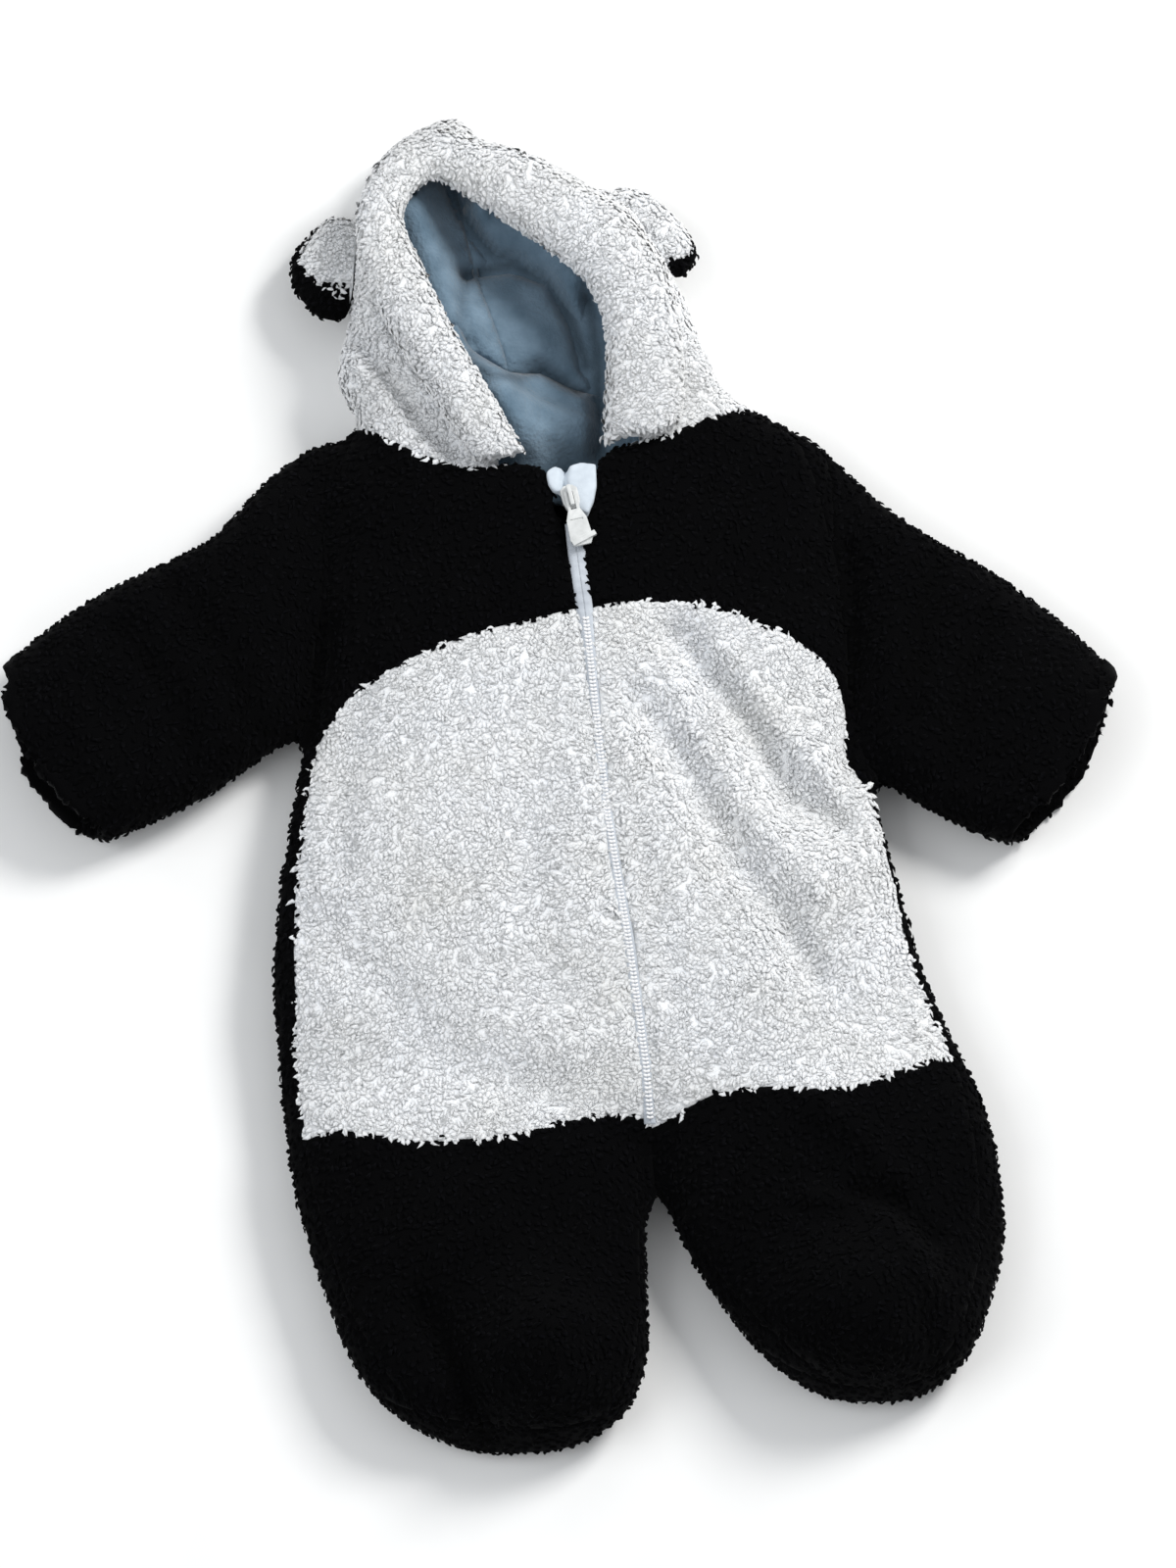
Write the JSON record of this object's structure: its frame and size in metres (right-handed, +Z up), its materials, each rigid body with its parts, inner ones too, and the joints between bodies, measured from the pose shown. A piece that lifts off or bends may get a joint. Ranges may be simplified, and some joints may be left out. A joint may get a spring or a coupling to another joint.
{
  "type": "hooded romper",
  "caption": "Footed baby romper of sherpa fleece with a lined, eared hood and a long front zip, lying flat on its back, open at face and cuffs.",
  "frame": {"origin": "on the surface that the romper lies on, under the middle of the whole garment", "axes": "+X to the picture's right, +Y from the feet to the hood, +Z up from the surface through the front of the garment"},
  "size_m": [0.5354, 0.677, 0.0657],
  "materials": {
    "white_sherpa": "curly sherpa fleece, off-white",
    "black_sherpa": "curly sherpa fleece, black",
    "grey_blue_fleece": "brushed grey-blue fleece",
    "white_tape": "white knitted tape",
    "enamelled_metal": "glossy off-white enamel"
  },
  "bodies": {
    "romper": {"yoke_left": "black_sherpa", "yoke_right": "black_sherpa", "tummy_left": "white_sherpa", "tummy_right": "white_sherpa", "leg_front_left": "black_sherpa", "leg_front_right": "black_sherpa", "back_left": "black_sherpa", "back_right": "black_sherpa", "sole_left": "black_sherpa", "sole_right": "black_sherpa", "sleeve_left": "black_sherpa", "sleeve_right": "black_sherpa", "hood_left": "white_sherpa", "hood_right": "white_sherpa", "hood_band": "white_sherpa", "lining_left": "grey_blue_fleece", "lining_right": "grey_blue_fleece", "lining_neck": "grey_blue_fleece", "ear_front_left": "white_sherpa", "ear_front_right": "white_sherpa", "ear_back_left": "black_sherpa", "ear_back_right": "black_sherpa", "zip_tape_left": "white_tape", "zip_tape_right": "white_tape", "chin_guard": "white_tape", "slider": "enamelled_metal"},
    "pull": {"pull_tab": "enamelled_metal"}
  },
  "joints": [
    {"name": "pull_swing", "type": "hinge", "parent": "romper", "child": "pull", "pos_m": [0.00444, 0.12954, 0.04965], "axis": [-0.9703, -0.2419, 0], "range_deg": [0, 150]}
  ]
}
